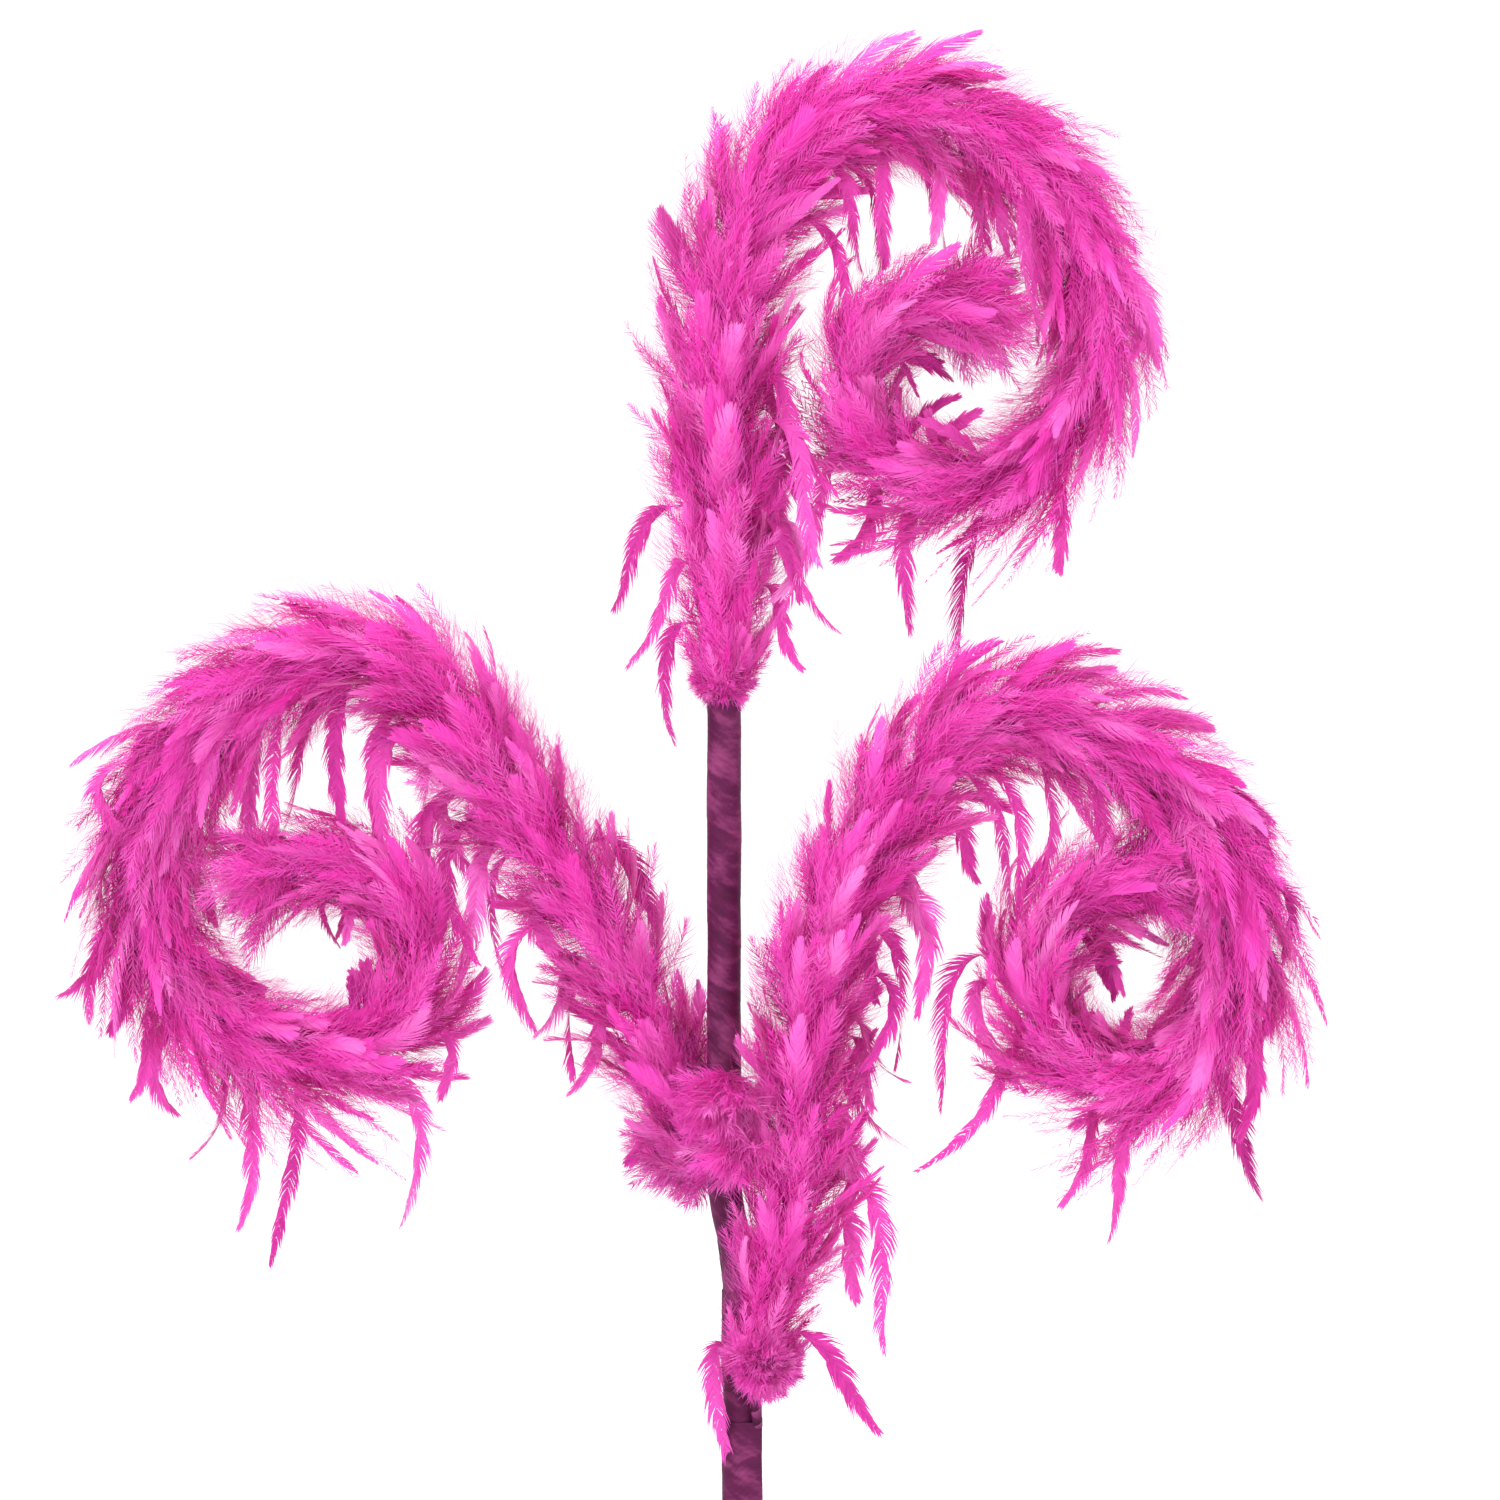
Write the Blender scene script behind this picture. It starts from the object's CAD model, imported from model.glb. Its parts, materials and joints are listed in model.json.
"""Curly feather spray: a taped stem with three wired feather fronds that wind into spirals.

Sizes are in metres, and in millimetres in the tables that say so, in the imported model's own
frame: Z up the stem, X to the right, the front facing -Y. The fronds' paths repeat the ones
that the CAD part is built on, and their roots are the hinges that the record gives.
"""
import json
import math

import bpy
import numpy as np
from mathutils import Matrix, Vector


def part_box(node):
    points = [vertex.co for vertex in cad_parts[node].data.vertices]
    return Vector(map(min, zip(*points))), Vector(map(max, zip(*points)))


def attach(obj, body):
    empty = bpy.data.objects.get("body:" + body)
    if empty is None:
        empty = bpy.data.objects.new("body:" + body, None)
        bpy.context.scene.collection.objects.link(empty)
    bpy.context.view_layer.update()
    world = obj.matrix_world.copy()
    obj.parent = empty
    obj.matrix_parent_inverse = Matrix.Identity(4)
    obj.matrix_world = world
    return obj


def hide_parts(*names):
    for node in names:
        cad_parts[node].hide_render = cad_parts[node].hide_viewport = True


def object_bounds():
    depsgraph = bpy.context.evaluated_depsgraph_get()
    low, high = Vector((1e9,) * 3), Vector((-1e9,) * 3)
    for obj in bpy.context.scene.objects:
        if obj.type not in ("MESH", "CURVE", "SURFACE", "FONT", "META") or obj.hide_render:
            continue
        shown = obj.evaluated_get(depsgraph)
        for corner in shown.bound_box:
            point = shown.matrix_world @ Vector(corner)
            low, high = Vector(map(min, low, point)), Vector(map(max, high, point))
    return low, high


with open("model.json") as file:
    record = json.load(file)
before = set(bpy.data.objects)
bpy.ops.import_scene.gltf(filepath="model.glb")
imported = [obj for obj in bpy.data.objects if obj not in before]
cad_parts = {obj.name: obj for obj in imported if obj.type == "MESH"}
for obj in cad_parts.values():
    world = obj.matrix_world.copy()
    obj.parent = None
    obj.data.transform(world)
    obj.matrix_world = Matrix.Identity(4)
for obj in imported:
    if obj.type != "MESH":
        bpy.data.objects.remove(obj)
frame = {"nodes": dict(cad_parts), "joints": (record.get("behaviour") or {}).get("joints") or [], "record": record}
cad_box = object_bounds()

MM = 0.001
SEED = 20
# How far the fluff stands out beyond the CAD's dense core, and how much flatter it is in depth.
HALO = 7 * MM
LEAST_RADIUS = 26 * MM
FLATTENING = 0.74
# More tufts than any frond has: each has its own random turn and height.
MOST_TUFTS = 40
# How much a strand is shaded as part of the whole soft mass, and not as a strip of its own.
MASS_SHADING = 0.55
BACK = np.array([0.0, 1.0, 0.0])
DOWN = np.array([0.0, 0.0, -1.0])

# ---------------------------------------------------------------- paths

# Each piece is (radius, sweep in degrees, feather radius), in millimetres. Radius 0 is
# a straight piece and its second value is a length.
PIECES = {
    "top": [
        (0, 68, 20), (0, 68, 24), (132, -31, 24), (58, -68, 24),
        (87, -62, 22), (72, -70, 20), (45, -95, 17), (32, -125, 11),
    ],
    "left": [
        (0, 36, 8.5), (0, 40, 16), (300, 11, 22), (0, 82, 24), (56, 71, 24),
        (95, 73, 24), (72, 97, 21), (41, 88, 17), (38, 100, 12),
    ],
    "right": [
        (0, 32, 8.5), (0, 34, 12), (255, 11, 18), (213, -39, 24), (53, -52, 23),
        (93, -40, 23), (86, -76, 22), (41, -115, 17), (42, -115, 11),
    ],
}
START_HEADING = {"top": 90, "left": 114, "right": 78}
# Feather radius close to each root, as (distance along the frond, radius) in millimetres.
NECKS = {
    "top": [(-6, 10), (6, 16), (24, 24), (56, 31)],
    "left": [(-4, 13), (14, 22), (40, 29)],
    "right": [(-8, 13), (6, 16), (34, 21), (72, 28)],
}
# How far the fluff hangs to the path's left, as (distance along the frond, offset) in
# millimetres: on the far side of each wide loop it sags towards the inside.
SAGS = {
    "top": [(0, 0)],
    "left": [(230, 0), (340, 8), (460, 8), (550, 0)],
    "right": [(290, 0), (380, -10), (490, -10), (570, 0)],
}
FIRST_CURL_PIECE = {"top": 5, "left": 6, "right": 6}
STEM_PIECES = [(0, 165, 0), (0, 87, 0), (100, 14.5, 0), (100, -14.5, 0), (0, 186, 0)]


def turned(x, z):
    """Unit vectors in the fronds' upright plane, from arrays of x and z."""
    return np.stack([x, np.zeros_like(x), z], axis=-1)


class Path:
    """A chain of tangent arcs and straights in an upright plane facing -Y."""

    def __init__(self, root, heading, pieces):
        self.pieces = []
        point = np.array([root[0], root[2]])
        angle = math.radians(heading)
        start = 0.0
        for radius, reach, _ in pieces:
            turn = math.radians(reach) if radius else 0.0
            length = abs(turn) * radius * MM if radius else reach * MM
            self.pieces.append((start, length, point.copy(), angle, turn))
            point = point + self._step(length, length, angle, turn)
            angle += turn
            start += length
        self.length = start
        self.depth = root[1]
        self.starts = [piece[0] for piece in self.pieces]

    @staticmethod
    def _step(along, length, angle, turn):
        """How far the path moves in x and z over a first stretch of one piece."""
        along = np.asarray(along, dtype=float)
        if not turn:
            return np.stack([along * math.cos(angle), along * math.sin(angle)], axis=-1)
        radius = length / turn
        end = angle + along / radius
        return radius * np.stack([np.sin(end) - math.sin(angle), math.cos(angle) - np.cos(end)], axis=-1)

    def at(self, along):
        """Points, tangents and left-hand normals at distances along the path."""
        along = np.asarray(along, dtype=float)
        point = np.zeros(along.shape + (2,))
        heading = np.zeros(along.shape)
        index = np.clip(np.searchsorted(self.starts, along, side="right") - 1, 0, len(self.pieces) - 1)
        for k, (start, length, origin, angle, turn) in enumerate(self.pieces):
            here = index == k
            if not here.any():
                continue
            inside = np.clip(along[here] - start, 0, length)
            beyond = along[here] - start - inside
            heading[here] = angle + turn * inside / length
            step = self._step(inside, length, angle, turn)
            run_on = np.stack([np.cos(heading[here]), np.sin(heading[here])], axis=-1)
            point[here] = origin + step + run_on * beyond[:, None]
        place = np.stack([point[..., 0], np.full(along.shape, self.depth), point[..., 1]], axis=-1)
        return place, turned(np.cos(heading), np.sin(heading)), turned(-np.sin(heading), np.cos(heading))


class Frond:
    """One length of feather boa on its wire: its path, how far its fluff stands out, and its tiers."""

    def __init__(self, name):
        self.name = name
        root = next(j["pos_m"] for j in frame["joints"] if j["name"] == name + "_root_bend")
        self.path = Path(root, START_HEADING[name], PIECES[name])
        self.tiers = len(PIECES[name])
        self.bend = FIRST_CURL_PIECE[name]
        outline = [(station * MM, radius * MM) for station, radius in NECKS[name]]
        for (start, length, *_), (_, _, core) in zip(self.path.pieces, PIECES[name]):
            if start + length / 2 > outline[-1][0]:
                outline.append((start + length / 2, max(core * MM + HALO, LEAST_RADIUS)))
        self.stations, self.radii = zip(*outline)
        self.sag_stations, self.sags = (np.array(column) * MM for column in zip(*SAGS[name]))
        self.tuft_random = np.random.default_rng([SEED, len(name)]).random((MOST_TUFTS, 3))

    def outer_side(self, along):
        """1 where the path's left side is the outer one of the turn, and -1 where its right side is."""
        index = np.clip(np.searchsorted(self.path.starts, along, side="right") - 1, 0, self.tiers - 1)
        return -np.sign([piece[4] for piece in self.path.pieces])[index]

    def radius(self, along):
        """How far the fluff stands from the cord, run smoothly from tier to tier."""
        return np.interp(along, self.stations, self.radii)

    def sag(self, along):
        """How far the fluff hangs to the left of the cord."""
        return np.interp(along, self.sag_stations, self.sags)

    def ends(self, tier):
        """Where a tier starts and ends along the cord."""
        start, length, *_ = self.path.pieces[tier]
        return start, start + length

    def spine(self, tier):
        """Points along the cord, a little past both ends of a tier."""
        start, end = self.ends(tier)
        return self.path.at(np.arange(start - 20 * MM, end + 50 * MM, 4 * MM))[0]

    def body(self, tier):
        """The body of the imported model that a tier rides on."""
        return self.name + ("_curl" if tier >= self.bend else "_arm")

    def tier_at(self, along):
        return max(k for k in range(self.tiers) if self.path.starts[k] <= max(along, 0))


FRONDS = [Frond(name) for name in PIECES]

# ---------------------------------------------------------------- meshes


def unit(v):
    """Vectors scaled to length 1."""
    return v / np.maximum(np.linalg.norm(v, axis=-1, keepdims=True), 1e-12)


def soft_normals(points, quads, spine):
    """Quads turned to face away from the spine, and normals between their own and that way out."""
    spine = spine.astype(np.float32)
    nearest = np.concatenate([
        ((part[:, None, :] - spine[None]) ** 2).sum(-1).argmin(axis=1)
        for part in np.array_split(points, max(1, len(points) // 20000))
    ])
    outward = unit(points - spine[nearest])
    a, b, c, d = (points[quads[:, k]] for k in range(4))
    own = np.cross(c - a, d - b)
    inward = (own * outward[quads[:, 0]]).sum(-1) < 0
    quads = np.where(inward[:, None], quads[:, ::-1], quads).astype(np.int32)
    own = unit(np.where(inward[:, None], -own, own))
    weights = np.repeat(own, 4, axis=0)
    blended = np.stack([np.bincount(quads.ravel(), weights[:, k], len(points)) for k in range(3)], axis=-1)
    return quads, unit((1 - MASS_SHADING) * unit(blended) + MASS_SHADING * outward)


class Pile:
    """Collects strips of quads, with a tone for each vertex, into one mesh."""

    def __init__(self):
        self.points = []
        self.quads = []
        self.tones = []
        self.count = 0

    def strips(self, centre, across, width, tone):
        """Flat ribbons. centre is (n, k, 3), across is (n, k, 3) or (n, 1, 3), width and tone (n, k)."""
        n, k = centre.shape[:2]
        half = across * width[..., None] / 2
        points = np.stack([centre - half, centre + half], axis=2)
        first = self.count + 2 * (np.arange(n)[:, None] * k + np.arange(k - 1)[None, :])
        self.quads.append(np.stack([first, first + 1, first + 3, first + 2], axis=-1).reshape(-1, 4))
        self.points.append(points.reshape(-1, 3))
        self.tones.append(np.repeat(tone.reshape(-1), 2))
        self.count += 2 * n * k

    def grid(self, points, tone, closed=False):
        """A sheet of (rows, columns, 3) points, joined round its columns when closed."""
        rows, columns = points.shape[:2]
        index = self.count + np.arange(rows * columns).reshape(rows, columns)
        if closed:
            index = np.concatenate([index, index[:, :1]], axis=1)
        quads = np.stack([index[:-1, :-1], index[:-1, 1:], index[1:, 1:], index[1:, :-1]], axis=-1)
        self.quads.append(quads.reshape(-1, 4))
        self.points.append(points.reshape(-1, 3))
        self.tones.append(np.broadcast_to(tone, (rows, columns)).reshape(-1).astype(float))
        self.count += rows * columns

    def piece(self, name, material, body, slot, replaces=(), smooth=False, spine=None):
        """Makes the object. A spine (points along the cord) shades its fluff as one soft mass."""
        points = np.concatenate(self.points).astype(np.float32)
        quads = np.concatenate(self.quads).astype(np.int32)
        normals = None
        if spine is not None:
            quads, normals = soft_normals(points, quads, spine)
        mesh = bpy.data.meshes.new(name)
        mesh.vertices.add(len(points))
        mesh.vertices.foreach_set("co", points.ravel())
        mesh.loops.add(quads.size)
        mesh.loops.foreach_set("vertex_index", quads.ravel())
        mesh.polygons.add(len(quads))
        mesh.polygons.foreach_set("loop_start", np.arange(0, quads.size, 4, dtype=np.int32))
        mesh.update(calc_edges=True)
        tone = mesh.attributes.new("tone", "FLOAT", "POINT")
        tone.data.foreach_set("value", np.concatenate(self.tones).astype(np.float32))
        mesh.polygons.foreach_set("use_smooth", np.full(len(quads), smooth))
        mesh.materials.append(material)
        if normals is not None:
            mesh.normals_split_custom_set_from_vertices(normals)
        piece = bpy.data.objects.new(name, mesh)
        bpy.context.scene.collection.objects.link(piece)
        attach(piece, body)
        if replaces:
            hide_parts(*replaces)


# ---------------------------------------------------------------- feathers


def along_shaft(values, t):
    """Values (n, k, 3) of each shaft, read at places t (n, b) from 0 to 1."""
    steps = values.shape[1] - 1
    place = np.clip(t, 0, 1) * steps
    low = np.minimum(place.astype(int), steps - 1)
    part = (place - low)[..., None]
    rows = np.arange(len(values))[:, None]
    return values[rows, low] * (1 - part) + values[rows, low + 1] * part


def add_feathers(pile, rng, shaft, side, half_width, look, tone):
    """Feathers with a tapering shaft and separate barbs.

    shaft is (n, k, 3), side (n, 3) the way the vane spreads, half_width and tone (n,).
    """
    n, k = shaft.shape[:2]
    t_shaft = np.linspace(0, 1, k)
    tangent = unit(np.gradient(shaft, axis=1))
    side = np.repeat(side[:, None, :], k, axis=1)
    side = unit(side - (side * tangent).sum(-1, keepdims=True) * tangent)
    twist = (look["twist"] * rng.normal(0, 1, (n, 1)) * t_shaft)[..., None]
    side = side * np.cos(twist) + np.cross(tangent, side) * np.sin(twist)
    face = np.cross(tangent, side)
    shaft_width = look["shaft"] * (1 - 0.8 * t_shaft) * np.ones((n, 1))
    shaft_tone = tone[:, None] + look["depth_tone"] * (t_shaft - 1) + 0.08
    pile.strips(shaft, side, shaft_width, shaft_tone)

    barbs = look["barbs"]
    for sign in (-1, 1):
        t = (np.arange(barbs) + rng.uniform(0.1, 0.9, (n, barbs))) / barbs
        t = look["bare"] + (1 - look["bare"]) * t
        base = along_shaft(shaft, t)
        forward = along_shaft(tangent, t)
        sideways = sign * along_shaft(side, t)
        outward = along_shaft(face, t)
        outline = np.sin(np.pi * np.clip(t * 0.95 + 0.03, 0, 1) ** look["fullness"]) ** look["bluntness"]
        ragged = 1 - look["ragged"] * rng.random((n, barbs)) ** 2
        # Barbs cling in clumps, so whole groups of them lean and shorten together.
        clump = np.sin(t * look["clumps"] * 2 * np.pi + rng.uniform(0, 6.28, (n, 1)))
        angle = np.radians(look["root_angle"] + (look["tip_angle"] - look["root_angle"]) * t)
        angle = angle * (1 + 0.12 * clump + look["stray"] * rng.normal(0, 1, (n, barbs)))
        reach = half_width[:, None] * outline * ragged * (1 + 0.1 * clump)
        reach = (reach / np.sin(np.radians(look["tip_angle"] + 12)))[..., None]
        lift = look["lift"] * rng.normal(0, 1, (n, barbs)) + look["cup"]
        lean = forward * np.cos(angle)[..., None] + sideways * np.sin(angle)[..., None]
        curl = forward * np.cos(angle * 0.5)[..., None] + sideways * np.sin(angle * 0.5)[..., None]
        first = unit(lean + outward * lift[..., None])
        second = unit(curl + outward * (1.6 * lift)[..., None] + DOWN * look["sag"])
        middle = base + first * reach * 0.5
        end = base + (first * 0.5 + second * 0.5) * reach
        points = np.stack([base, middle, end], axis=2)
        across = np.cross(outward + first * 0, first)
        width = look["barb"] * np.array([1.0, 0.85, 0.12]) * rng.uniform(0.75, 1.25, (n, barbs, 1))
        shade = tone[:, None, None] + look["tip_tone"] * np.array([0.0, 0.45, 1.0])
        shade = shade + look["depth_tone"] * (t[..., None] - 1)
        shade = shade + look["fleck"] * rng.normal(0, 1, (n, barbs, 1))
        flat = (n * barbs, 3)
        pile.strips(
            points.reshape(flat + (3,)),
            unit(across).reshape(n * barbs, 1, 3),
            width.reshape(flat),
            np.broadcast_to(shade, (n, barbs, 3)).reshape(flat),
        )


# Marabou is soft and open, a vane is smooth and closed, and a hackle is a long soft ribbon.
MARABOU = {
    "barbs": 44, "barb": 0.32 * MM, "shaft": 0.4 * MM, "bare": 0.05, "fullness": 0.7, "bluntness": 0.55,
    "ragged": 0.6, "clumps": 3, "root_angle": 58, "tip_angle": 24, "stray": 0.2, "lift": 0.3, "cup": 0.0,
    "sag": 0.06, "twist": 0.5, "tip_tone": 0.12, "depth_tone": 0.16, "fleck": 0.05,
}
FILLING = dict(MARABOU, barbs=20, barb=0.6 * MM)
VANE = dict(
    MARABOU, barbs=40, barb=0.8 * MM, bare=0.12, fullness=0.95, bluntness=0.75, ragged=0.2, clumps=2,
    root_angle=40, tip_angle=18, stray=0.05, lift=0.05, cup=0.12, twist=0.7, tip_tone=0.06, fleck=0.025,
)
HACKLE = dict(
    VANE, barbs=64, barb=0.9 * MM, shaft=0.6 * MM, bare=0.06, fullness=0.95, bluntness=0.5, ragged=0.35,
    clumps=4, root_angle=44, tip_angle=22, stray=0.07, twist=0.9, tip_tone=0.08, depth_tone=0.1, fleck=0.04,
)

# Feathers are bunched into tufts a pitch apart, drawn to each tuft's foot by a power of
# their place within it, and their tips gather in a few bunches round the cord.
TUFT_PITCH = 37 * MM
TUFT_PULL = 2.6
TUFT_OVERLAP = 4 * MM
TIP_BUNCHES = 7
# Feathers leave the cord a little under its surface.
QUILL_FOOT = 3.5 * MM * 0.6
# The first plumes are tied on just before the root hinge.
ROOT_START = -6 * MM
# The fluff's radius at which a tier has its whole count of feathers, and the one that sets
# how straight its feathers fly.
FULL_RADIUS = 28 * MM
OPEN_RADIUS = 32 * MM
DOWN_PER_METRE = 45000


def round_the_cord(frond, along, angle):
    """Points on the path and the directions that stand out from it at an angle."""
    place, tangent, normal = frond.path.at(along)
    place = place + normal * frond.sag(along)[..., None]
    out = normal * np.cos(angle)[..., None] + FLATTENING * BACK * np.sin(angle)[..., None]
    return place, tangent, out


def tier_roots(frond, rng, tier, per_metre):
    """Places along one tier where feathers are tied on: bunched at the foot of each small tuft."""
    start, end = frond.ends(tier)
    fullness = float(frond.radius((start + end) / 2)) / FULL_RADIUS
    count = max(14, int(per_metre * (end - start) * (0.45 + 0.55 * fullness)))
    along = start + (end - start) * (np.arange(count) + rng.random(count)) / count
    tuft = np.floor(along / TUFT_PITCH)
    within = along / TUFT_PITCH - tuft
    return np.maximum((tuft + within ** TUFT_PULL) * TUFT_PITCH - TUFT_OVERLAP, ROOT_START)


def splayed_shafts(frond, rng, along, angle, length, reach, steps=7):
    """Shafts that leave the cord, splay out in bunches and then lie back along the path."""
    t = np.linspace(0, 1, steps)
    tuft = np.clip((along / TUFT_PITCH + 0.2).astype(int), 0, MOST_TUFTS - 1)
    bunch = 2 * np.pi / TIP_BUNCHES
    offset = bunch * frond.tuft_random[tuft, 0]
    centre = np.round((angle - offset) / bunch) * bunch + offset
    spin = angle[:, None] + 0.65 * t ** 1.4 * (centre - angle)[:, None]
    # Some bunches stand further out than others, so that the outline breaks into points.
    uneven = 0.5 + frond.tuft_random[tuft, 2]
    stand = 1 + 0.16 * np.sin(centre * 2 + 6.28 * frond.tuft_random[tuft, 1]) * uneven
    stand = stand * (1 + 0.02 * np.cos(angle) * frond.outer_side(along))
    rise = 0.75 * t + 0.25 * np.sin(np.pi / 2 * t)
    height = QUILL_FOOT + (reach * stand - QUILL_FOOT)[:, None] * rise
    advance = length[:, None] * (0.75 * t + 0.25 * t * t)
    place, _, out = round_the_cord(frond, along[:, None] + advance, spin)
    bent = place + out * height[..., None]
    root, tangent, start_out = round_the_cord(frond, along, angle)
    _, _, fixed_out = round_the_cord(frond, np.repeat(along[:, None], steps, axis=1), spin)
    straight = root[:, None] + tangent[:, None] * advance[..., None] + fixed_out * height[..., None]
    # Thin fluff keeps to the curve, and long feathers fly straight on.
    stiff = np.clip(0.6 * frond.radius(along) / OPEN_RADIUS - 0.05, 0.1, 0.46)[:, None, None]
    # Feathers on the underside hang away from the cord under their own weight.
    below = np.maximum(-start_out[:, 2], 0)
    hang = rng.uniform(0.02, 0.18, len(along)) + below * rng.uniform(0, 0.5, len(along))
    droop = (hang * length)[:, None] * t ** 2
    stray = rng.normal(0, 0.06, (len(along), 1, 3)) * (length[:, None] * t ** 2)[..., None]
    return bent * (1 - stiff) + straight * stiff + DOWN * droop[..., None] + stray


def add_tier(pile, frond, rng, tier, look, per_metre, lengths, reaches, widths, side_spread, tone):
    """One kind of feather all along a tier. Lengths and widths grow with the fluff's radius."""
    along = tier_roots(frond, rng, tier, per_metre)
    n = len(along)
    radius = frond.radius(along + 14 * MM)
    angle = rng.uniform(-np.pi, np.pi, n)
    length = (10 * MM + lengths * radius) * rng.uniform(0.8, 1.2, n)
    if tier >= frond.bend:
        length = length * (1.1 + 0.18 * np.cos(angle) * frond.outer_side(along))
    reach = radius * rng.uniform(*reaches, n)
    shaft = splayed_shafts(frond, rng, along, angle, length, reach)
    _, tangent, out = round_the_cord(frond, along, angle)
    side = unit(np.cross(tangent, out) + out * rng.normal(0, side_spread, n)[:, None])
    bow = rng.normal(0, 0.1, n) * length
    t = np.linspace(0, 1, shaft.shape[1])
    shaft = shaft + side[:, None, :] * (bow[:, None] * t ** 2)[..., None]
    width = (1.2 * MM + widths * radius) * rng.uniform(0.75, 1.25, n)
    tones = tone + 0.09 * rng.normal(0, 1, n)
    add_feathers(pile, rng, shaft, side, width, look, tones)


def add_fluff(pile, frond, rng, tier):
    """A dense filling, soft marabou over it and smooth vanes on the outside."""
    add_tier(pile, frond, rng, tier, FILLING, 1500, 0.7, (0.3, 0.8), 0.15, 0.6, 0.58)
    add_tier(pile, frond, rng, tier, MARABOU, 1600, 0.85, (0.55, 1.08), 0.19, 0.5, 0.68)
    add_tier(pile, frond, rng, tier, VANE, 400, 1.05, (0.7, 1.07), 0.17, 0.5, 0.74)


def add_down(pile, frond, rng, tier):
    """Loose down: fine curved hairs that fill the tier and blur its outline."""
    along = tier_roots(frond, rng, tier, DOWN_PER_METRE)
    n = len(along)
    angle = rng.uniform(-np.pi, np.pi, n)
    station = along + rng.uniform(0, 20 * MM, n)
    radius = frond.radius(station)
    place, tangent, out = round_the_cord(frond, station, angle)
    around = np.cross(tangent, out)
    base = place + out * (radius * rng.uniform(0.25, 0.85, n))[:, None]
    spread = rng.normal(0, 0.5, (3, n, 1))
    first = unit(tangent * 0.8 + out * (0.8 + spread[0]) + around * spread[1])
    second = unit(tangent * 1.1 + out * (0.35 + spread[2]) + around * spread[1] + DOWN * 0.12)
    length = (rng.uniform(7, 17, n) * MM * (0.5 + radius / (60 * MM)))[:, None]
    points = np.stack([base, base + first * length * 0.5, base + (first + second) * length * 0.5], axis=1)
    across = unit(np.cross(out + 0.4 * around, first))[:, None, :]
    width = 0.18 * MM * np.array([1.0, 0.8, 0.15]) * np.ones((n, 1))
    tone = 0.58 + 0.1 * rng.normal(0, 1, (n, 1)) + np.array([-0.06, 0.06, 0.16])
    pile.strips(points, across, width, tone)


# Balls of short plumes at each frond's root: (number, size, where its middle is from the
# root, the way it is open). The left frond's last two droop over the front of the stem.
KNOBS = {
    "top": [(110, 11, (0, 0, 3), (0, 0, 0))],
    "left": [
        (150, 24, (-5, 2, 8), (-0.3, 0.7, 0)),
        (60, 28, (6, -24, 42), (-0.1, -0.5, -1.3)),
        (60, 26, (12, -24, 20), (0.1, -0.4, -1.3)),
    ],
    "right": [(190, 15, (1.5, 0, 8), (0.3, -0.3, 0))],
}
# The loose tuft at each frond's tip: number of plumes and their length.
TIP_TUFT = (80, 29)


def add_knob(pile, frond, rng, station, count, size, middle, opening):
    """A ball or tuft of short marabou tied on at one place along a frond."""
    root, tangent, _ = frond.path.at(np.full(count, station))
    way = unit(rng.normal(0, 1, (count, 3))) * np.array([1.0, FLATTENING, 1.0])
    way = unit(way + np.array(opening))
    length = size * MM * rng.uniform(0.7, 1.15, count)
    t = np.linspace(0, 1, 6)[None, :, None]
    centre = root + np.array(middle) * MM
    bend = unit(np.cross(way, rng.normal(0, 1, (count, 3)))) * 0.45 + tangent * 0.3 + DOWN * 0.15
    shaft = centre[:, None] + (way[:, None] * t + bend[:, None] * t ** 2) * length[:, None, None]
    side = unit(np.cross(way, rng.normal(0, 1, (count, 3))))
    width = 2 * MM + 0.26 * length
    add_feathers(pile, rng, shaft, side, width, MARABOU, 0.68 + 0.09 * rng.normal(0, 1, count))


# ---------------------------------------------------------------- long hackles

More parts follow.
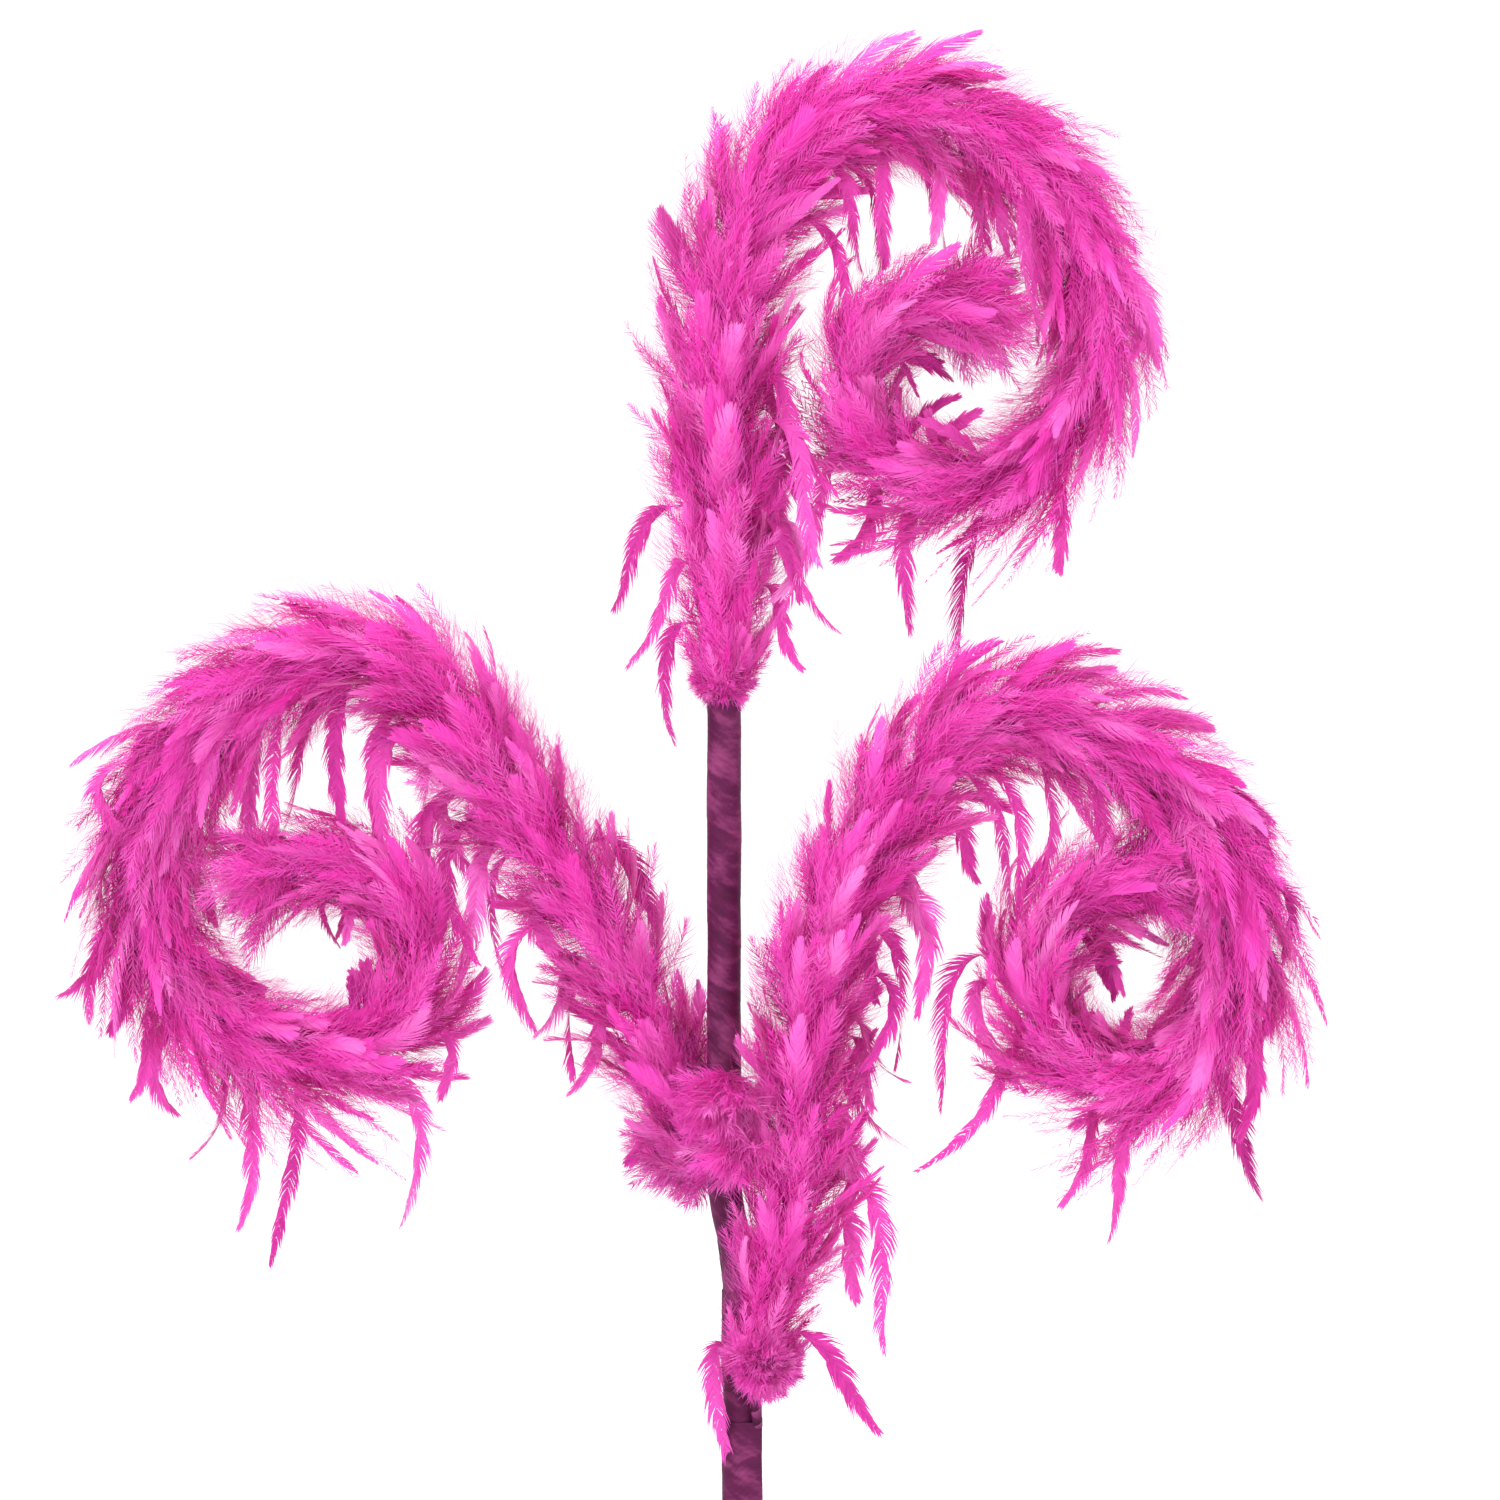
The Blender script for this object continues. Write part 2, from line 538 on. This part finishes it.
# Each is (distance along the frond, angle round it, length, lean to the right), in
# millimetres and degrees. Angle 0 is the path's left side, 180 its right, -90 the front.
LONG_HACKLES = {
    "top": [
        (26, 20, 60, -16), (74, 10, 44, -26), (52, -30, 46, -14), (60, -160, 62, 8),
        (40, -170, 54, 12), (88, -150, 66, 5), (96, 170, 50, 9), (118, 20, 40, -12),
        (128, -165, 52, 7), (226, -165, 40, 4), (240, 175, 48, 6), (256, -170, 50, 3),
        (276, 165, 46, 6), (292, -175, 42, 2), (372, 10, 40, 4), (388, -20, 36, 3),
        (455, 0, 46, -5), (478, 10, 72, 0), (504, -10, 70, 14), (520, 15, 38, -6),
        (533, -5, 64, 5), (346, -160, 60, 12), (330, -120, 52, 16), (104, -170, 56, 6),
        (112, -150, 46, 10), (70, -165, 50, 12), (80, -175, 44, 4), (134, 180, 48, 2),
        (98, -140, 60, 3), (64, 175, 40, 9), (310, 170, 60, -2), (196, -170, 44, 8),
    ],
    "left": [
        (30, -20, 30, -16), (58, -165, 26, 14), (96, 20, 52, 4), (124, -10, 56, 2),
        (150, 25, 68, 10), (168, -15, 58, 6), (184, 10, 70, 8), (137, 170, 44, 20),
        (208, 20, 60, 4), (236, 10, 56, 6), (263, -15, 52, 0), (282, 15, 60, 1),
        (296, -10, 58, 0), (312, 20, 48, -2), (434, 175, 50, -2), (452, -170, 40, 2),
        (469, 170, 46, -5), (487, -175, 48, 4), (500, 165, 56, 9), (519, -170, 66, -12),
        (544, 175, 72, -14), (564, -165, 40, -4), (400, -150, 54, 4), (420, 160, 44, -4),
        (76, 0, 40, 3), (108, 10, 44, -4), (132, -20, 40, 6), (160, 0, 52, -5), (192, 20, 48, 5),
        (222, 0, 52, 2), (340, -150, 60, -4), (364, -165, 56, 2), (384, 170, 50, 0),
    ],
    "right": [
        (14, 20, 52, -4), (24, -160, 40, 6), (82, -170, 66, 4), (66, 175, 48, 8),
        (110, -160, 46, 6), (140, 170, 50, 4), (166, -170, 48, 5), (190, 160, 54, 3),
        (204, -165, 50, 2), (228, -175, 48, 4), (262, 170, 62, 2), (279, -170, 78, 2),
        (306, 175, 50, 4), (330, -160, 54, 8), (469, 0, 48, 4), (486, -15, 42, 3),
        (503, 10, 52, 0), (531, -10, 46, -3), (545, 15, 50, -6), (576, 0, 64, -22),
        (597, 15, 58, 4), (606, -10, 60, -8), (450, 10, 44, 6), (120, 10, 36, -6),
        (96, -175, 44, 3), (126, 165, 40, 8), (152, -160, 46, 0), (178, 175, 42, 5),
        (216, -165, 40, 3), (246, 170, 46, 4), (400, 20, 56, 4), (424, 0, 50, -2), (384, -15, 60, 0),
    ],
}


def hanging_shafts(frond, rng, along, angle, length, lean, steps=18):
    """Shafts that leave the fluff, turn over and hang down under their own weight."""
    place, tangent, out = round_the_cord(frond, along, angle)
    n = len(along)
    start = place + out * (0.4 * frond.radius(along))[:, None]
    leave = unit(tangent * 0.45 + out)
    sway = np.stack([lean + rng.normal(0, 4 * MM, n), rng.normal(0, 5 * MM, n), np.zeros(n)], axis=-1)
    first = start + leave * (0.36 * length)[:, None]
    end = start + leave * (0.22 * length)[:, None] + DOWN * length[:, None] + sway
    second = end - DOWN * (0.5 * length)[:, None] - sway * rng.uniform(0.2, 1.6, (n, 1))
    t = np.linspace(0, 1, steps)[None, :, None]
    start, first, second, end = (p[:, None, :] for p in (start, first, second, end))
    curve = (1 - t) ** 3 * start + 3 * t * (1 - t) ** 2 * first
    curve = curve + 3 * t * t * (1 - t) * second + t ** 3 * end
    hook = np.stack([rng.normal(0, 9 * MM, n), rng.normal(0, 3 * MM, n), rng.uniform(0, 7 * MM, n)], axis=-1)
    bow = np.stack([rng.normal(0, 4 * MM, n), rng.normal(0, 2 * MM, n), np.zeros(n)], axis=-1)
    return curve + hook[:, None, :] * t ** 4 + bow[:, None, :] * np.sin(np.pi * t)


def add_long_hackles(pile, frond, rng, tiers):
    """The long loose feathers that hang from some of a frond's tiers."""
    chosen = [row for row in LONG_HACKLES[frond.name] if frond.tier_at(row[0] * MM) in tiers]
    rows = np.array(chosen, dtype=float)
    n = len(rows)
    along = rows[:, 0] * MM + rng.normal(0, 3 * MM, n)
    angle = np.radians(rows[:, 1])
    length = rows[:, 2] * MM * rng.uniform(0.65, 1.2, n)
    shaft = hanging_shafts(frond, rng, along, angle, length, rows[:, 3] * MM)
    turn = rng.uniform(-0.8, 0.8, n)
    side = np.stack([np.cos(turn), np.sin(turn), np.zeros(n)], axis=-1)
    width = rng.uniform(4.8, 7.4, n) * MM
    tone = 0.54 + 0.14 * rng.normal(0, 1, n)
    add_feathers(pile, rng, shaft, side, width, HACKLE, tone)


def add_spiral_strays(pile, frond, rng, count=9):
    """Small ragged feathers that poke into the hollow of a spiral from its inner side."""
    last = frond.path.length
    along = last - rng.uniform(10 * MM, 130 * MM, count)
    inner = np.where(frond.outer_side(along) > 0, np.pi, 0.0) + rng.normal(0, 0.35, count)
    place, tangent, out = round_the_cord(frond, along, inner)
    length = rng.uniform(20, 32, count) * MM
    start = place + out * (0.35 * frond.radius(along))[:, None]
    way = unit(out * rng.uniform(0.5, 1.0, (count, 1)) + tangent * rng.uniform(-0.3, 0.9, (count, 1)))
    bend = tangent * rng.normal(0, 0.4, (count, 1)) + BACK * rng.normal(0, 0.3, (count, 1)) + DOWN * 0.15
    t = np.linspace(0, 1, 9)[None, :, None]
    shaft = start[:, None] + (way[:, None] * t + bend[:, None] * t ** 2 * 0.6) * length[:, None, None]
    turn = rng.uniform(-0.9, 0.9, count)
    side = np.cross(way, BACK) * np.cos(turn)[:, None] + BACK * np.sin(turn)[:, None]
    add_feathers(pile, rng, shaft, unit(side), 0.15 * length, HACKLE, 0.5 + 0.14 * rng.normal(0, 1, count))


# ---------------------------------------------------------------- materials


def new_material(name):
    """A material with an empty tree but for its shader and output."""
    material = bpy.data.materials.new(name)
    material.use_nodes = True
    tree = material.node_tree
    tree.nodes.clear()
    output = tree.nodes.new("ShaderNodeOutputMaterial")
    shader = tree.nodes.new("ShaderNodeBsdfPrincipled")
    tree.links.new(shader.outputs["BSDF"], output.inputs["Surface"])
    return material, tree, shader, output


def ramp_of(tree, source, stops):
    """A colour ramp through (position, (r, g, b)) stops, read from a socket."""
    ramp = tree.nodes.new("ShaderNodeValToRGB")
    while len(ramp.color_ramp.elements) < len(stops):
        ramp.color_ramp.elements.new(0.5)
    for element, (position, colour) in zip(ramp.color_ramp.elements, stops):
        element.position = position
        element.color = (*colour, 1.0)
    tree.links.new(source, ramp.inputs["Fac"])
    return ramp.outputs["Color"]


def noise_of(tree, scale, detail=3.0, stretch=(1, 1, 1), tilt=0.0):
    """Noise in the object's own space, so that it doesn't slide when the piece moves."""
    where = tree.nodes.new("ShaderNodeTexCoord")
    mapping = tree.nodes.new("ShaderNodeMapping")
    mapping.vector_type = "TEXTURE"
    mapping.inputs["Scale"].default_value = [1 / share for share in stretch]
    mapping.inputs["Rotation"].default_value = (tilt, tilt, 0)
    noise = tree.nodes.new("ShaderNodeTexNoise")
    noise.inputs["Scale"].default_value = scale
    noise.inputs["Detail"].default_value = detail
    tree.links.new(where.outputs["Object"], mapping.inputs["Vector"])
    tree.links.new(mapping.outputs["Vector"], noise.inputs["Vector"])
    return noise.outputs["Fac"]


def maths(tree, operation, a, b):
    """One arithmetic node. Each of a and b is a number or a socket."""
    node = tree.nodes.new("ShaderNodeMath")
    node.operation = operation
    for socket, value in zip(node.inputs, (a, b)):
        if isinstance(value, (int, float)):
            socket.default_value = value
        else:
            tree.links.new(value, socket)
    return node.outputs["Value"]


def bump_into(tree, shader, height, strength, distance):
    """Relief on a shader from a height socket."""
    bump = tree.nodes.new("ShaderNodeBump")
    bump.inputs["Strength"].default_value = strength
    bump.inputs["Distance"].default_value = distance
    tree.links.new(height, bump.inputs["Height"])
    tree.links.new(bump.outputs["Normal"], shader.inputs["Normal"])


def feather_material(name, stops, glow, roughness):
    """Dyed feather: colour by each strand's own tone, and light let through from behind."""
    material, tree, shader, output = new_material(name)
    tone = tree.nodes.new("ShaderNodeAttribute")
    tone.attribute_name = "tone"
    patch = maths(tree, "MULTIPLY", maths(tree, "SUBTRACT", noise_of(tree, 38), 0.5), 0.45)
    colour = ramp_of(tree, maths(tree, "ADD", tone.outputs["Fac"], patch), stops)
    tree.links.new(colour, shader.inputs["Base Color"])
    shader.inputs["Roughness"].default_value = roughness
    shader.inputs["Specular IOR Level"].default_value = 0.15
    shader.inputs["Sheen Weight"].default_value = 0.12
    shader.inputs["Sheen Roughness"].default_value = 0.4
    bump_into(tree, shader, noise_of(tree, 900, 1.0), 0.3, 0.2 * MM)
    through = tree.nodes.new("ShaderNodeBsdfTranslucent")
    tree.links.new(colour, through.inputs["Color"])
    mix = tree.nodes.new("ShaderNodeMixShader")
    mix.inputs["Fac"].default_value = glow
    tree.links.new(shader.outputs["BSDF"], mix.inputs[1])
    tree.links.new(through.outputs["BSDF"], mix.inputs[2])
    tree.links.new(mix.outputs["Shader"], output.inputs["Surface"])
    return material


def crepe_material():
    """Plum crepe floral tape: stretched paper with fine creases across the strip."""
    material, tree, shader, _ = new_material("crepe_tape")
    tone = tree.nodes.new("ShaderNodeAttribute")
    tone.attribute_name = "tone"
    crease = noise_of(tree, 110, 3.0, (1.0, 1.0, 3.0), tilt=0.5)
    mottle = maths(tree, "MULTIPLY", maths(tree, "SUBTRACT", crease, 0.5), 0.6)
    colour = ramp_of(tree, maths(tree, "ADD", tone.outputs["Fac"], mottle), [
        (0.2, (0.03, 0.002, 0.017)), (0.5, (0.09, 0.008, 0.05)), (0.8, (0.26, 0.045, 0.15)),
    ])
    shader.inputs["Specular IOR Level"].default_value = 0.12
    tree.links.new(colour, shader.inputs["Base Color"])
    tree.links.new(maths(tree, "ADD", maths(tree, "MULTIPLY", crease, 0.3), 0.45), shader.inputs["Roughness"])
    bump_into(tree, shader, crease, 0.6, 0.5 * MM)
    return material


def speckled_material(name, dark, light, roughness, metallic=0.0, scale=400, stretch=(1, 1, 1)):
    """Plain stuff with a fine grain: thread, paper or drawn wire."""
    material, tree, shader, _ = new_material(name)
    grain = noise_of(tree, scale, 4.0, stretch)
    tree.links.new(ramp_of(tree, grain, [(0.3, dark), (0.7, light)]), shader.inputs["Base Color"])
    uneven = maths(tree, "ADD", maths(tree, "MULTIPLY", grain, 0.2), roughness)
    tree.links.new(uneven, shader.inputs["Roughness"])
    shader.inputs["Metallic"].default_value = metallic
    bump_into(tree, shader, grain, 0.4, 0.3 * MM)
    return material


DOWN_STOPS = [
    (0.05, (0.46, 0.003, 0.18)), (0.35, (0.76, 0.021, 0.40)),
    (0.65, (0.87, 0.085, 0.57)), (0.95, (0.91, 0.25, 0.69)),
]
HACKLE_STOPS = [
    (0.05, (0.36, 0.01, 0.17)), (0.4, (0.68, 0.05, 0.40)),
    (0.7, (0.82, 0.12, 0.56)), (0.95, (0.90, 0.34, 0.74)),
]
feather_pink = feather_material("feather_pink", DOWN_STOPS, 0.35, 0.6)
hackle_pink = feather_material("hackle_pink", HACKLE_STOPS, 0.3, 0.5)
crepe_plum = crepe_material()
cord_thread = speckled_material("cord_thread", (0.25, 0.01, 0.08), (0.55, 0.04, 0.22), 0.7, scale=700)
padding_paper = speckled_material("padding_paper", (0.5, 0.44, 0.36), (0.78, 0.73, 0.64), 0.75)
drawn_wire = speckled_material(
    "drawn_wire", (0.32, 0.33, 0.35), (0.6, 0.61, 0.63), 0.25, 1.0, scale=500, stretch=(1, 1, 0.1)
)
CAD_LOOKS = {
    "steel_wire": drawn_wire, "stem_paper": padding_paper, "boa_cord": cord_thread, "crepe_tape": crepe_plum,
}

# ---------------------------------------------------------------- stem

STEM_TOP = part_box("stem_tape_upper")[1][2]
# The wrap runs a little past the stem's top, to cover the paper's end.
TOP_COVER = 0.4 * MM
# The tape's width along the stem in each turn, and the step at its overlapping edge.
STRIP_WIDTH = 21 * MM
STRIP_EDGE = 0.14 * MM
STEM_COLUMNS = 96


def half_depth(node):
    """Half of a node's size from front to back."""
    low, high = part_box(node)
    return (high[1] - low[1]) / 2


STEM_RADIUS = half_depth("stem_tape_upper")


def wound_tape(pile, place, normal, radius, distance):
    """A tube wound in a spiral strip. place and normal are (rows, 3), radius (rows, columns)."""
    theta = np.linspace(0, 2 * np.pi, STEM_COLUMNS, endpoint=False)
    turns = distance[:, None] / STRIP_WIDTH - theta[None, :] / (2 * np.pi)
    edge = turns - np.floor(turns)
    step = STRIP_EDGE * (np.clip(edge / 0.06, 0, 1) - edge)
    crease = np.sin(2 * np.pi * (turns * 9.3 + 0.8 * np.sin(theta * 2 + distance[:, None] * 140)))
    crease = crease + 0.8 * np.sin(2 * np.pi * turns * 17.7 + 4 * np.sin(theta * 3 - distance[:, None] * 95))
    swell = np.sin(distance[:, None] * 61 + 1.3 * np.sin(theta))
    swell = swell + np.sin(distance[:, None] * 153 + 2 * np.sin(theta + 1))
    height = radius - STRIP_EDGE * 0.5 + step + 0.025 * MM * crease + 0.1 * MM * swell
    out = normal[:, None, :] * np.cos(theta)[None, :, None] + BACK * np.sin(theta)[None, :, None]
    tone = 0.47 + 0.12 * step / STRIP_EDGE + 0.015 * crease + 0.05 * swell
    pile.grid(place[:, None, :] + out * height[..., None], tone, closed=True)


def close_end(pile, place, normal, radius, columns=48):
    """The tape folded over an end: rings that run in to the middle."""
    theta = np.linspace(0, 2 * np.pi, columns, endpoint=False)
    out = normal * np.cos(theta)[:, None] + BACK * np.sin(theta)[:, None]
    rings = [place + out * radius * share for share in (1.0, 0.7, 0.4, 0.12)]
    pile.grid(np.stack(rings), 0.45, closed=True)


def stem_tape(name, start, end, replaced):
    """One of the stem's two wraps, which follows the stem's slight bend."""
    path = Path((0, 0, 0), 90, STEM_PIECES)
    distance = np.linspace(start, end, int((end - start) / (0.9 * MM)))
    place, _, normal = path.at(distance)
    stem_radius = half_depth(replaced)
    radius = np.full((len(distance), STEM_COLUMNS), stem_radius)
    pile = Pile()
    wound_tape(pile, place, normal, radius, distance)
    for row in (0, -1):
        close_end(pile, place[row], normal[row], stem_radius - STRIP_EDGE * 0.5)
    pile.piece(name, crepe_plum, "stem", "crepe_tape", [replaced], smooth=True)


def band_radius(theta, side, offset, stem_radius, leg_radius):
    """How far a band pulled tight round the stem and a leg beside it stands from the stem's middle."""
    share = np.linspace(0, 1, 16)[:, None]
    centre = offset * share
    radius = stem_radius + (leg_radius - stem_radius) * share
    inside = radius ** 2 - (centre * np.sin(theta - side)) ** 2
    reach = centre * np.cos(theta - side) + np.sqrt(np.maximum(inside, 0))
    return np.where(inside > 0, reach, 0).max(axis=0)


LEG_SIDE = {"left": math.radians(122), "right": math.radians(-35)}
LEG_RADIUS = 1.5 * MM
LEG_OFFSET = STEM_RADIUS + LEG_RADIUS + 0.2 * MM
BAND_THICKNESS = 0.55 * MM
BAND_TAPER = 12 * MM


def tie_tape(side_name):
    """The band that binds a frond's leg to the stem, tapering away below."""
    low, high = (corner[2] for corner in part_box(side_name + "_tie_tape"))
    theta = np.linspace(0, 2 * np.pi, STEM_COLUMNS, endpoint=False)
    distance = np.linspace(low - BAND_TAPER, high + 1.5 * MM, 90)
    taper = np.clip((distance - distance[0]) / BAND_TAPER, 0, 1) ** 0.8
    radius = np.stack([
        band_radius(
            theta, LEG_SIDE[side_name], LEG_OFFSET * share,
            STEM_RADIUS + BAND_THICKNESS * min(1.0, 0.5 + share), LEG_RADIUS + BAND_THICKNESS,
        )
        for share in taper
    ])
    place = np.stack([0 * distance, 0 * distance, distance], axis=-1)
    pile = Pile()
    wound_tape(pile, place, np.tile([1.0, 0, 0], (len(distance), 1)), radius, distance)
    pile.piece(
        side_name + "_tie_wrap", crepe_plum, "stem", "crepe_tape", [side_name + "_tie_tape"], smooth=True
    )


def leg_tape(side_name):
    """Tape wound on the bare wire between its tie and the frond."""
    path = next(frond.path for frond in FRONDS if frond.name == side_name)
    root = path.at(np.array([0.0]))[0][0]
    side = LEG_SIDE[side_name]
    knee_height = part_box(side_name + "_tie_tape")[1][2]
    knee = np.array([LEG_OFFSET * math.cos(side), LEG_OFFSET * math.sin(side), knee_height])
    way = unit(root - knee)
    distance = np.linspace(0, 0.93 * float(np.linalg.norm(root - knee)), 60)
    normal = unit(np.cross(way, BACK))
    second = np.cross(way, normal)
    theta = np.linspace(0, 2 * np.pi, 64, endpoint=False)
    out = normal * np.cos(theta)[:, None] + second * np.sin(theta)[:, None]
    turns = distance[:, None] / (7 * MM) - theta[None, :] / (2 * np.pi)
    step = 0.2 * MM * (turns - np.floor(turns) - 0.5)
    place = knee + way * distance[:, None]
    height = LEG_RADIUS + 0.6 * MM + step
    pile = Pile()
    pile.grid(place[:, None] + out[None] * height[..., None], 0.5 + step / (0.4 * MM), closed=True)
    pile.piece(side_name + "_leg_wrap", crepe_plum, "stem", "crepe_tape", smooth=True)


# ---------------------------------------------------------------- building

for o in frame["nodes"].values():
    record_slot = next(s["material_slot"] for s in frame["record"]["subparts"] if s["node"] == o.name)
    if record_slot in CAD_LOOKS:
        o.data.materials.clear()
        o.data.materials.append(CAD_LOOKS[record_slot])

stem_tape("stem_wrap_lower", 0.0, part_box("stem_tape_lower")[1][2], "stem_tape_lower")
stem_tape("stem_wrap_upper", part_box("stem_tape_lower")[1][2], STEM_TOP + TOP_COVER, "stem_tape_upper")
for side_name in ("left", "right"):
    tie_tape(side_name)
    leg_tape(side_name)

for frond in FRONDS:
    for tier in range(frond.tiers):
        rng = np.random.default_rng([SEED, len(frond.name), tier])
        pile = Pile()
        add_fluff(pile, frond, rng, tier)
        add_down(pile, frond, rng, tier)
        if tier == 0:
            for knob in KNOBS[frond.name]:
                add_knob(pile, frond, rng, 0.0, *knob)
        if tier == frond.tiers - 1:
            tip = frond.path.length
            add_knob(pile, frond, rng, tip, *TIP_TUFT, (0, 0, 0), 1.2 * frond.path.at([tip])[1][0])
        number = str(tier + 1)
        pile.piece(
            frond.name + "_plumes_" + number, feather_pink, frond.body(tier), "feather_down",
            [frond.name + "_feathers_" + number], spine=frond.spine(tier),
        )
    for part, tiers in (("arm", range(frond.bend)), ("curl", range(frond.bend, frond.tiers))):
        rng = np.random.default_rng([SEED, len(frond.name), 100 + frond.bend, len(part)])
        pile = Pile()
        add_long_hackles(pile, frond, rng, tiers)
        if part == "curl":
            add_spiral_strays(pile, frond, rng)
        pile.piece(
            frond.name + "_" + part + "_long_hackles", hackle_pink, frond.name + "_" + part, "hackle_feather",
            [frond.name + "_" + part + "_hackles"],
        )

# ---------------------------------------------------------------- stage


def add_stage():
    """A large pale floor, a white surround and soft studio light."""
    half = 6.0
    corners = [(-half, -half, 0), (half, -half, 0), (half, half, 0), (-half, half, 0)]
    mesh = bpy.data.meshes.new("studio_floor")
    mesh.from_pydata(corners, [], [(0, 1, 2, 3)])
    floor = bpy.data.objects.new("studio_floor", mesh)
    bpy.context.scene.collection.objects.link(floor)
    floor_material = speckled_material("studio_floor", (0.97, 0.97, 0.97), (0.98, 0.98, 0.98), 0.8, scale=3)
    mesh.materials.append(floor_material)

    world = bpy.data.worlds.new("studio_white")
    world.use_nodes = True
    world.node_tree.nodes["Background"].inputs["Color"].default_value = (1, 1, 1, 1)
    world.node_tree.nodes["Background"].inputs["Strength"].default_value = 1.07
    bpy.context.scene.world = world

    middle = (np.array(cad_box[0]) + np.array(cad_box[1])) / 2
    for name, offset, size, power in (
        ("key_light", (-0.9, -1.5, 1.3), 1.2, 26.0),
        ("fill_light", (1.4, -1.3, 0.5), 1.4, 9.0),
        ("top_light", (0.1, 0.3, 1.8), 1.5, 16.0),
    ):
        data = bpy.data.lights.new(name, "AREA")
        data.size = size
        data.energy = power
        light = bpy.data.objects.new(name, data)
        light.location = middle + np.array(offset)
        direction = bpy.data.objects.new(name + "_aim", None)
        direction.location = middle
        bpy.context.scene.collection.objects.link(direction)
        bpy.context.scene.collection.objects.link(light)
        aim = light.constraints.new("TRACK_TO")
        aim.target = direction
        aim.track_axis = "TRACK_NEGATIVE_Z"
        aim.up_axis = "UP_Y"


def add_camera():
    """Straight on from the front, framed so that the stem's foot runs out of the picture."""
    data = bpy.data.cameras.new("front_camera")
    data.lens = 100
    data.sensor_width = 36
    data.clip_end = 50
    camera = bpy.data.objects.new("front_camera", data)
    bpy.context.scene.collection.objects.link(camera)
    picture_width = 600 * MM
    distance = picture_width * data.lens / data.sensor_width
    camera.location = (4 * MM, -distance, 468 * MM)
    camera.rotation_euler = (math.pi / 2, 0, 0)
    bpy.context.scene.camera = camera


add_stage()
add_camera()
bpy.context.scene.view_settings.view_transform = "Standard"
